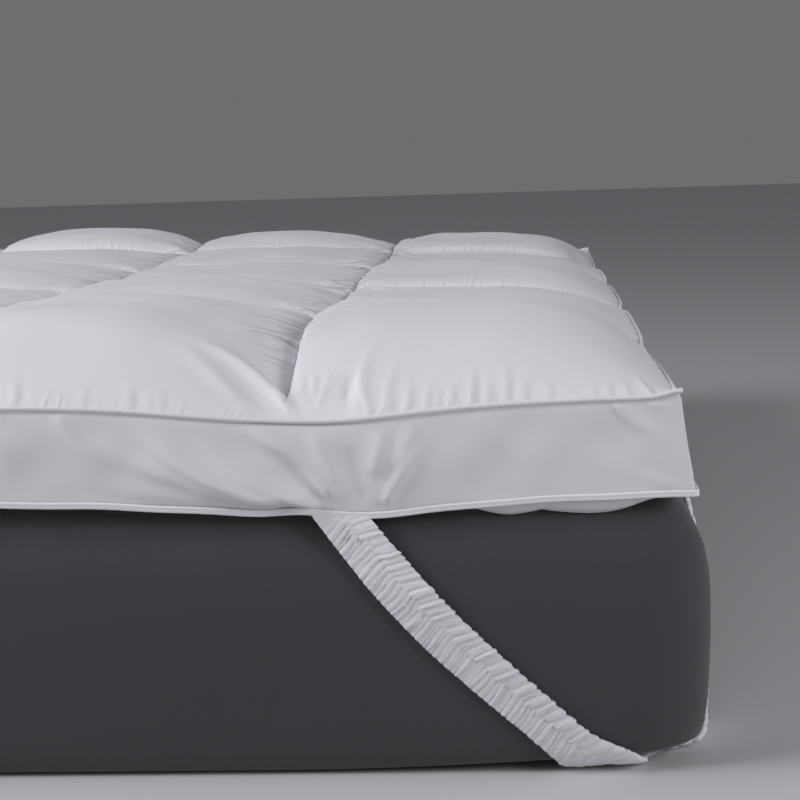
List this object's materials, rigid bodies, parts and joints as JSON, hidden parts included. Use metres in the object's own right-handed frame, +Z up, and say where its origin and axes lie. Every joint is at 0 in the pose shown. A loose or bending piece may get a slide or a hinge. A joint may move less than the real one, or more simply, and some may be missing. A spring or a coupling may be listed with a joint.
{
  "type": "mattress topper on a mattress",
  "caption": "Filled, quilted mattress topper with a boxed side, corded seams and ruched elastic corner straps, lying on a plain mattress.",
  "frame": {"origin": "centre of the bed in plan, at the flat underside of the mattress", "axes": "+Z up, +Y from the foot to the head of the bed, +X to its right"},
  "size_m": [1.5548, 2.0472, 0.4459],
  "materials": {
    "topper_cloth": "smooth white brushed microfibre with a soft sheen",
    "binding": "white cloth folded over a cord",
    "elastic": "white cloth gathered on elastic",
    "mattress_cloth": "smooth charcoal mattress cloth"
  },
  "bodies": {
    "root": {"mattress": "mattress_cloth", "topper": "topper_cloth", "top_piping": "binding", "bottom_piping": "binding", "corner_strap_front_right": "elastic", "corner_strap_front_left": "elastic", "corner_strap_back_right": "elastic", "corner_strap_back_left": "elastic"}
  },
  "joints": []
}
